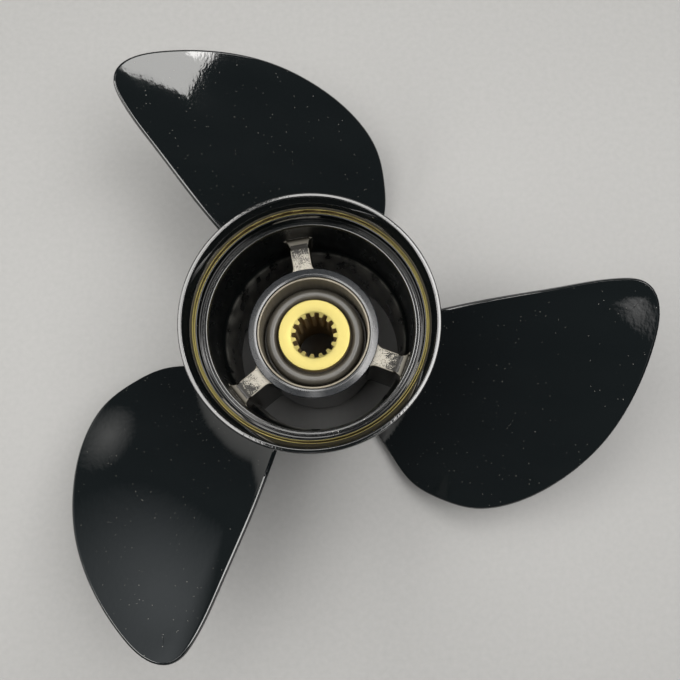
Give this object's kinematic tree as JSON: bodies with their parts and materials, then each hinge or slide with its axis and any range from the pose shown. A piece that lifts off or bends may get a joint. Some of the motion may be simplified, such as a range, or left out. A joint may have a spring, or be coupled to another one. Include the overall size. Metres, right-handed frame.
{
  "type": "boat propeller",
  "caption": "Right-hand boat propeller with raked blades on an exhaust barrel with a flared aft ring, ribs, and a rubber bush around a brass splined sleeve.",
  "frame": {"origin": "on the shaft axis, at the hub's front end face, where the front recess opens", "axes": "+Z along the shaft axis, pointing aft towards the flared ring; +Y along the reference line of blade_1; +X to its right seen from aft"},
  "size_m": [0.3448, 0.3588, 0.1524],
  "materials": {
    "gloss_black_paint": "cast aluminium under gloss black enamel",
    "yellow_zinc_steel": "drawn steel tube with yellow zinc plating",
    "moulded_rubber": "moulded grey-black rubber, satin",
    "machined_brass": "turned and broached brass"
  },
  "bodies": {
    "bush": {"splined_sleeve": "machined_brass", "rubber_cushion": "moulded_rubber", "bush_sleeve": "yellow_zinc_steel"},
    "casting": {"barrel": "gloss_black_paint", "inner_hub": "gloss_black_paint", "rib_1": "gloss_black_paint", "rib_2": "gloss_black_paint", "rib_3": "gloss_black_paint", "blade_1": "gloss_black_paint", "blade_2": "gloss_black_paint", "blade_3": "gloss_black_paint"}
  },
  "joints": [
    {"name": "hub_slip", "type": "hinge", "parent": "bush", "child": "casting", "pos_m": [0, 0, 0.064], "axis": [0, 0, 1], "continuous": true}
  ]
}
